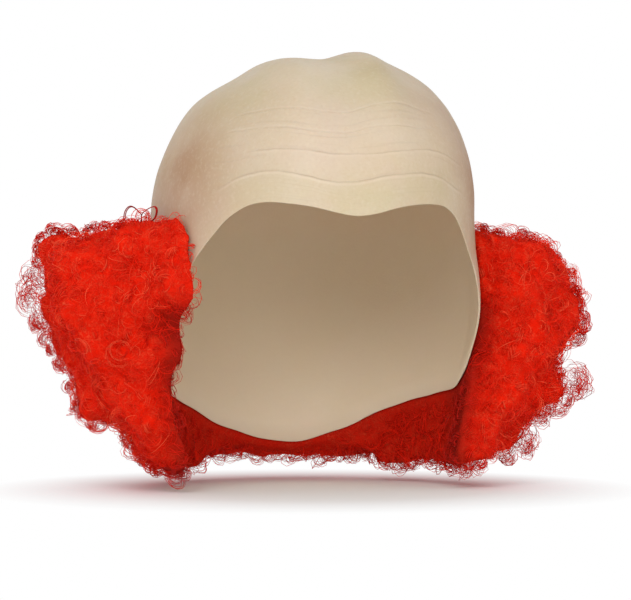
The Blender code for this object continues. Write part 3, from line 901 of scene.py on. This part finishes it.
def make_core(bunch, mass, curls, material):
    """One bunch's share of the mass, cut flat just short of each seam."""
    shape = bmesh.new()
    shape.from_mesh(mass)
    planes = [(-normal * SEAM_CUT, normal) for normal in seam_normals(bunch)]
    if len(bunch["seams"]) == 1:
        planes.append((np.zeros(3), np.array((-np.sign(bunch["seams"][0]), 0, 0))))
    for place, normal in planes:
        geometry = [*shape.verts, *shape.edges, *shape.faces]
        bmesh.ops.bisect_plane(shape, geom=geometry, plane_co=place, plane_no=normal, clear_outer=True)
        rim = [edge for edge in shape.edges if edge.is_boundary]
        for edge in rim:
            edge.smooth = False
        bmesh.ops.holes_fill(shape, edges=rim, sides=0)
    mesh = bpy.data.meshes.new(bunch["node"] + "_core")
    shape.to_mesh(mesh)
    shape.free()

    points = vertex_array(mesh, "vertices", "co")
    # Painted shade between the curls, and painted shadow beside the head
    gap_shade = (1 - lump_shares(points, curls)) ** GAP_SHADE_POWER * GAP_SHADE_SHARE
    store(mesh, "painted_shade", np.maximum(gap_shade, head_shadow(points)))
    put_piece(mesh, bunch["node"], material)


def head_shadow(points):
    """How strong the painted shadow on the hair beside the head is at each point, strongest beside the cheeks.
    """
    near_head = ease(1 - clearance_of(points) / SHADOW_RUN)
    below_ear = ease((SHADOW_TOP - points[:, 2]) / SHADOW_RUN)
    cheek = ease((CHEEK_TURN - np.abs(azimuth_of(points))) / CHEEK_FADE)
    return near_head * below_ear * (BACK_SHADOW + (1 - BACK_SHADOW) * cheek)


def vertex_array(mesh, collection, field):
    values = np.zeros(len(mesh.vertices) * 3, np.float32)
    getattr(mesh, collection).foreach_get(field, values)
    return values.reshape(-1, 3).astype(float)


def lump_shares(points, centres):
    """1 at the middle of the nearest curl, falling to 0 at the curl's radius."""
    tree = KDTree(len(centres))
    for index, centre in enumerate(centres):
        tree.insert(centre, index)
    tree.balance()
    distances = np.array([tree.find(point)[2] for point in points])
    return ease(1 - distances / LUMP_RADIUS)


def curl_spots(bunch, points, faces, draw):
    """Places and outward directions for the curls, spread evenly over the open side of a bunch."""
    corners = points[np.array([face[:3] for face in faces])]
    fourth = points[np.array([face[-1] for face in faces])]
    centres = (corners.sum(1) + fourth) / 4
    cross = np.cross(corners[:, 2] - corners[:, 0], fourth - corners[:, 1])
    areas = np.linalg.norm(cross, axis=1)
    normals = unit(cross)
    outward = (normals[:, :2] * unit(centres[:, :2])).sum(1)
    allowed = (clearance_of(centres) > CURL_CLEARANCE) & (outward > CURL_TURN)
    allowed |= depth_below_rim(centres) > CURL_DEPTH
    for normal in seam_normals(bunch):
        allowed &= centres @ normal < 0
    if len(bunch["seams"]) == 1:
        allowed &= centres[:, 0] * bunch["seams"][0] > 0
    weights = np.where(allowed, areas, 0)
    tries = draw.choice(len(faces), size=CURL_TRIES, p=weights / weights.sum())
    coils = spread_out(centres, tries, bunch["coils"], COIL_SPACING)
    puffs = spread_out(centres, tries[::-1], bunch["puffs"], PUFF_SPACING)
    place, normal = centres[puffs], normals[puffs]
    radius = draw.uniform(*PUFF_RADIUS, len(puffs))
    rise = draw.uniform(*PUFF_RISE, len(puffs))
    right = picture_axes()[0]
    seen_across, seen_height, scale = seen(centres)
    for across, height in np.array(TIPS[bunch["node"]]) / TENTHS:
        nearest = np.argmin(np.hypot(seen_across - across, seen_height - height))
        outward = right * (across - seen_across[nearest]) + np.array((0, 0, height - seen_height[nearest]))
        reach = np.linalg.norm(outward) / scale[nearest]
        size = max(reach * TIP_SHARE, TIP_RADIUS)
        reach *= TIP_GROWTH
        place = np.vstack((place, centres[nearest]))
        normal = np.vstack((normal, unit(outward + normals[nearest] * TIP_LEAN)))
        radius = np.append(radius, size)
        rise = np.append(rise, reach / size - 1)
    tips = len(TIPS[bunch["node"]])
    return {"coils": (centres[coils], normals[coils]), "puffs": (place, normal, radius, rise), "tips": tips}


def seen(points):
    """(across, height, scale) at which points appear, at the scale of the head's axis."""
    right, back = picture_axes()
    scale = CAMERA_DISTANCE / (CAMERA_DISTANCE - points @ back)
    across = (points @ right - CAMERA_SIDE) * scale + CAMERA_SIDE
    return across, (points[:, 2] - CAMERA_HEIGHT) * scale + CAMERA_HEIGHT, scale


def spread_out(places, tries, count, spacing):
    """Places picked in the order tried, no two closer than a spacing that shrinks until enough are found."""
    kept = []
    for share in SPACING_SHARES:
        for index in tries:
            if len(kept) == count:
                return kept
            if not kept or np.min(((places[kept] - places[index]) ** 2).sum(1)) > (spacing * share) ** 2:
                kept.append(index)
    return kept


def perpendicular(axes, draw):
    """Two unit vectors square to each axis and to each other, turned at random."""
    first = unit(np.cross(axes, draw.normal(size=axes.shape)))
    return first, np.cross(axes, first)


def coil_paths(spots, draw):
    """(paths, directions out from each coil's axis) of the fibres of every coil."""
    place, normal = spots["coils"]
    count = len(place)
    lying = draw.random(count) < LYING_SHARE
    across, _ = perpendicular(normal, draw)
    standing_axis = normal * STANDING_AXIS[0] + draw.normal(size=(count, 3)) * STANDING_AXIS[1]
    lying_axis = across * LYING_AXIS[0] + draw.normal(size=(count, 3)) * LYING_AXIS[1]
    axes = unit(np.where(lying[:, None], lying_axis, standing_axis))
    u, v = perpendicular(axes, draw)
    radius = draw.uniform(*COIL_RADIUS, count) * np.where(lying, LYING_SIZE, 1)
    pitch = draw.uniform(*COIL_PITCH, count)
    hand = draw.choice((-1, 1), count)
    phase = draw.uniform(0, 2 * math.pi, count)
    bend = draw.uniform(*COIL_BEND, count)
    sag = draw.uniform(*COIL_SAG, count)
    base = place + normal * np.where(lying, LYING_RISE, -COIL_SINK)[:, None]

    fibres = (count, COIL_FIBRES)
    radius = radius[:, None] * draw.uniform(*FIBRE_SIZE, fibres)
    phase = phase[:, None] + draw.normal(size=fibres) * FIBRE_PHASE
    offset = draw.uniform(-FIBRE_OFFSET, FIBRE_OFFSET, fibres)
    offset -= np.where(lying, 0.5, 0.0)[:, None] * pitch[:, None] * COIL_TURNS
    wobble = draw.uniform(0, 2 * math.pi, fibres)
    t = np.linspace(0, 1, COIL_STEPS + 1)
    angle = phase[..., None] + hand[:, None, None] * 2 * math.pi * COIL_TURNS * t
    swell = COIL_ROOT + (1 - COIL_ROOT) * np.sin(np.clip(t * COIL_OPENING, 0, 1) * math.pi / 2)
    swell -= COIL_CLOSING * ease((t - COIL_END) / (1 - COIL_END))
    reach = radius[..., None] * swell * (1 + FIBRE_WAVE * np.sin(angle * FIBRE_WAVES + wobble[..., None]))
    height = offset[..., None] + pitch[:, None, None] * COIL_TURNS * t

    out = np.cos(angle)[..., None] * u[:, None, None] + np.sin(angle)[..., None] * v[:, None, None]
    paths = base[:, None, None] + axes[:, None, None] * height[..., None] + out * reach[..., None]
    paths = paths + u[:, None, None] * (bend[:, None, None] * t**2)[..., None]
    paths[..., 2] -= sag[:, None, None] * t**2
    return paths.reshape(-1, len(t), 3), out.reshape(-1, len(t), 3)


def puff_paths(spots, draw):
    """(paths, directions out) of the arcs that make see-through balls on the mass."""
    place, normal, radius, rise = spots["puffs"]
    fibres = np.full(len(place), PUFF_FIBRES)
    fibres[radius.size - spots["tips"] :] = TIP_FIBRES
    lean = draw.normal(size=place.shape) * PUFF_LEAN
    centre = place + unit(normal + lean) * (rise * radius)[:, None]
    tips = fibres == TIP_FIBRES
    gathered = (draw.random(len(place)) < np.where(tips, 0, GATHERED_SHARE))[:, None] * GATHERED_PULL
    fill = np.where(tips, TIP_FILL, PUFF_FILL)
    shared_plane = unit(draw.normal(size=place.shape)) * gathered
    stretch = draw.random(len(place)) * np.where(tips, TIP_STRETCH, PUFF_STRETCH)
    stretch_way = unit(draw.normal(size=place.shape)) * np.sqrt(stretch)[:, None]
    values = (centre, normal, radius, shared_plane, stretch_way, fill)
    values = [np.repeat(value, fibres, axis=0) for value in values]
    centre, normal, radius, shared_plane, stretch_way, fill = values

    count = len(radius)
    plane = unit(draw.normal(size=(count, 3)) + shared_plane)
    u = unit(normal - plane * (normal * plane).sum(-1)[:, None])
    v = np.cross(plane, u)
    reach = radius * (1 - fill * draw.random(count) ** FILL_POWER)
    turns = draw.uniform(*ARC_TURNS, count)
    t = np.linspace(-0.5, 0.5, PUFF_STEPS + 1)
    angle = draw.normal(size=count)[:, None] * ARC_SPREAD + 2 * math.pi * turns[:, None] * t
    reach = reach[:, None] * (1 + draw.uniform(-ARC_VARIETY, ARC_VARIETY, count)[:, None] * t)
    aside = radius * draw.uniform(-ARC_VARIETY, ARC_VARIETY, count)
    out = np.cos(angle)[..., None] * u[:, None] + np.sin(angle)[..., None] * v[:, None]
    offset = out * reach[..., None] + (plane * aside[:, None])[:, None]
    offset += (offset * stretch_way[:, None]).sum(-1, keepdims=True) * stretch_way[:, None]
    return centre[:, None] + offset, out


def loop_paths(draw):
    """(paths, directions out) of the fibres of the two standing loops."""
    right, back = picture_axes()
    t = np.linspace(0, 1, LOOP_STEPS + 1)
    paths = []
    for loop in LOOPS:
        keys = np.linspace(0, 1, len(loop))
        side, up = (curve(keys, values, t) for values in np.array(loop).T / TENTHS)
        twist = LOOP_TWIST * np.sign(side.mean())
        for fibre in range(LOOP_FIBRES):
            grown = 1 + LOOP_GROWTH * fibre * draw.uniform(-1, 1)
            depth = (LOOP_SPREAD * fibre * draw.uniform(-1, 1) + LOOP_BOW) * np.sin(math.pi * t)
            path = np.array(LOOP_MIDDLE) + right * (side * grown)[:, None]
            path += back * (depth + side * twist)[:, None]
            path[:, 2] += up * np.where(up > 0, grown, 1)
            paths.append(path)
    paths = np.array(paths)
    out = unit(paths - paths.mean(1, keepdims=True))
    return paths, out


def make_tubes(node, kind, ways, radius, tone_and_light, material, draw):
    """One mesh of thin closed tubes along the paths, one of a bunch's pieces."""
    paths, out = ways
    paths = kept_clear(paths, CAP_GAP + radius)
    along = unit(np.gradient(paths, axis=1))
    first = unit(out - along * (out * along).sum(-1)[..., None])
    second = np.cross(along, first)
    fibres, steps = paths.shape[:2]
    ends = np.minimum(np.arange(steps), np.arange(steps)[::-1]) / 2
    width = radius * np.clip(FIBRE_END + (1 - FIBRE_END) * ends, 0, 1)
    width = width[None, :] * draw.uniform(*FIBRE_VARIETY, fibres)[:, None]
    angles = 2 * math.pi * np.arange(FIBRE_SIDES) / FIBRE_SIDES
    ring = np.cos(angles)[:, None] * first[:, :, None] + np.sin(angles)[:, None] * second[:, :, None]
    vertices = paths[:, :, None] + ring * width[..., None, None]

    number = np.arange(fibres * steps * FIBRE_SIDES).reshape(fibres, steps, FIBRE_SIDES)
    following = np.roll(number, -1, axis=2)
    quads = np.stack((number[:, :-1], following[:, :-1], following[:, 1:], number[:, 1:]), -1).reshape(-1, 4)
    caps = np.concatenate((number[:, 0, ::-1], number[:, -1]))
    faces = quads.tolist() + caps.tolist()
    mesh = new_mesh(f"{node}_{kind}", vertices.reshape(-1, 3), faces)
    put_piece(mesh, node, material)
    tones_and_light = np.clip(draw.normal(*tone_and_light, fibres), 0, 1)
    # Painted shadow on the fibres beside the head
    tones_and_light *= 1 - SHADOW_TINT * head_shadow(paths[:, steps // 2])
    store(mesh, "tone_and_light", np.repeat(tones_and_light, steps * FIBRE_SIDES))


def make_hair():
    core_finish = core_material()
    fibre_finish = fibre_material()
    points, normals, faces = make_mass()
    draws = [np.random.default_rng(bunch["seed"]) for bunch in BUNCHES]
    spots = [curl_spots(bunch, points, faces, draw) for bunch, draw in zip(BUNCHES, draws)]
    curls = np.concatenate([spot["coils"][0] for spot in spots])
    relief = LUMP_HEIGHT * lump_shares(points, curls) + GRAIN_HEIGHT * noise_at(points, GRAIN_LENGTH)
    points = kept_clear(points + normals * (relief * room_outside(points))[:, None], CAP_GAP)
    mass = new_mesh("mass", points, faces)
    for bunch, draw, spot in zip(BUNCHES, draws, spots):
        node = bunch["node"]
        make_core(bunch, mass, curls, core_finish)
        make_tubes(node, "coils", coil_paths(spot, draw), FIBRE_RADIUS, COIL_TONE_AND_LIGHT, fibre_finish, draw)
        tips = spot["tips"]
        fibres = (len(spot["puffs"][0]) - tips) * PUFF_FIBRES, tips * TIP_FIBRES
        tone_and_light = np.repeat((FRIZZ_TONE_AND_LIGHT[0], TIP_TINT), fibres), FRIZZ_TONE_AND_LIGHT[1]
        make_tubes(node, "frizz", puff_paths(spot, draw), FRIZZ_RADIUS, tone_and_light, fibre_finish, draw)
    bpy.data.meshes.remove(mass)
    draw = np.random.default_rng(LOOP_SEED)
    make_tubes("hair_left", "loops", loop_paths(draw), LOOP_RADIUS, LOOP_TINT, fibre_finish, draw)


# The stage, the lights and the camera


def camera_axes():
    """Unit vectors to the camera's right and from the object to the camera."""
    angle = math.radians(CAMERA_TURN)
    return Vector((math.cos(angle), math.sin(angle), 0)), Vector((math.sin(angle), -math.cos(angle), 0))


def picture_axes():
    """The camera's axes as arrays."""
    return [np.array(axis) for axis in camera_axes()]


def make_camera():
    right, back = camera_axes()
    data = bpy.data.cameras.new("camera")
    data.sensor_width = 36
    data.lens = data.sensor_width * CAMERA_DISTANCE / PICTURE_WIDTH
    camera = bpy.data.objects.new("camera", data)
    camera.location = back * CAMERA_DISTANCE + right * CAMERA_SIDE + Vector((0, 0, CAMERA_HEIGHT))
    camera.rotation_euler = (math.pi / 2, 0, math.radians(CAMERA_TURN))
    bpy.context.scene.collection.objects.link(camera)
    bpy.context.scene.camera = camera


def white_glow(tree):
    return add(tree, "ShaderNodeEmission", {"Color": (1, 1, 1, 1), "Strength": 1.0}).outputs[0]


def make_stage():
    """A pale floor that runs out to white, and a white backdrop all round that only the camera sees."""
    floor, tree, shader, place = material_tree("floor", 0.9, 0.5)
    shader.inputs["Base Color"].default_value = (FLOOR_GREY, FLOOR_GREY, FLOOR_GREY, 1)
    away = add(tree, "ShaderNodeVectorMath", {0: place}, operation="LENGTH").outputs["Value"]
    share = rescaled(tree, away, *FLOOR_FADE, 0, 1)
    mixed = add(tree, "ShaderNodeMixShader", {0: share, 1: shader.outputs[0], 2: white_glow(tree)}).outputs[0]
    tree.links.new(mixed, tree.nodes["Material Output"].inputs["Surface"])
    spot = (0, 0, FLOOR_HEIGHT)
    bpy.ops.mesh.primitive_circle_add(vertices=96, radius=FLOOR_RADIUS, fill_type="NGON", location=spot)
    disc = bpy.context.object
    disc.name = "floor"
    disc.data.materials.append(floor)

    bpy.ops.mesh.primitive_uv_sphere_add(radius=BACKDROP_RADIUS, segments=48, ring_count=24)
    backdrop = bpy.context.object
    backdrop.name = "backdrop"
    glow = bpy.data.materials.new("backdrop")
    glow.use_nodes = True
    tree = glow.node_tree
    tree.nodes.remove(tree.nodes["Principled BSDF"])
    tree.links.new(white_glow(tree), tree.nodes["Material Output"].inputs["Surface"])
    backdrop.data.materials.append(glow)
    backdrop.visible_diffuse = False
    backdrop.visible_glossy = False
    backdrop.visible_shadow = False


def make_light():
    """Even light from all round, and two large soft lamps."""
    world = bpy.data.worlds.new("world")
    bpy.context.scene.world = world
    world.use_nodes = True
    world.node_tree.nodes["Background"].inputs["Color"].default_value = (1, 1, 1, 1)
    world.node_tree.nodes["Background"].inputs["Strength"].default_value = WORLD_STRENGTH
    right, back = camera_axes()
    for name, ahead, aside, up, size, power in LIGHTS:
        data = bpy.data.lights.new(name, "AREA")
        data.shape = "DISK"
        data.size = size
        data.energy = power
        light = bpy.data.objects.new(name, data)
        light.location = back * ahead + right * aside + Vector((0, 0, up))
        light.rotation_euler = (light.location - Vector(LIGHT_TARGET)).to_track_quat("Z", "Y").to_euler()
        bpy.context.scene.collection.objects.link(light)
    bpy.context.scene.view_settings.view_transform = "Standard"


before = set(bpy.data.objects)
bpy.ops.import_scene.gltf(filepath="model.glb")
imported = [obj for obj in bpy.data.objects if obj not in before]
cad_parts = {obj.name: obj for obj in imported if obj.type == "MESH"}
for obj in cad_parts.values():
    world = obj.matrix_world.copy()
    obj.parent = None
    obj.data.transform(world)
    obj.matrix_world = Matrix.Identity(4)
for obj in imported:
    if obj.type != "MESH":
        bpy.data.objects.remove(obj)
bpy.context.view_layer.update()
make_camera()
make_stage()
make_light()
make_cap()
make_hair()
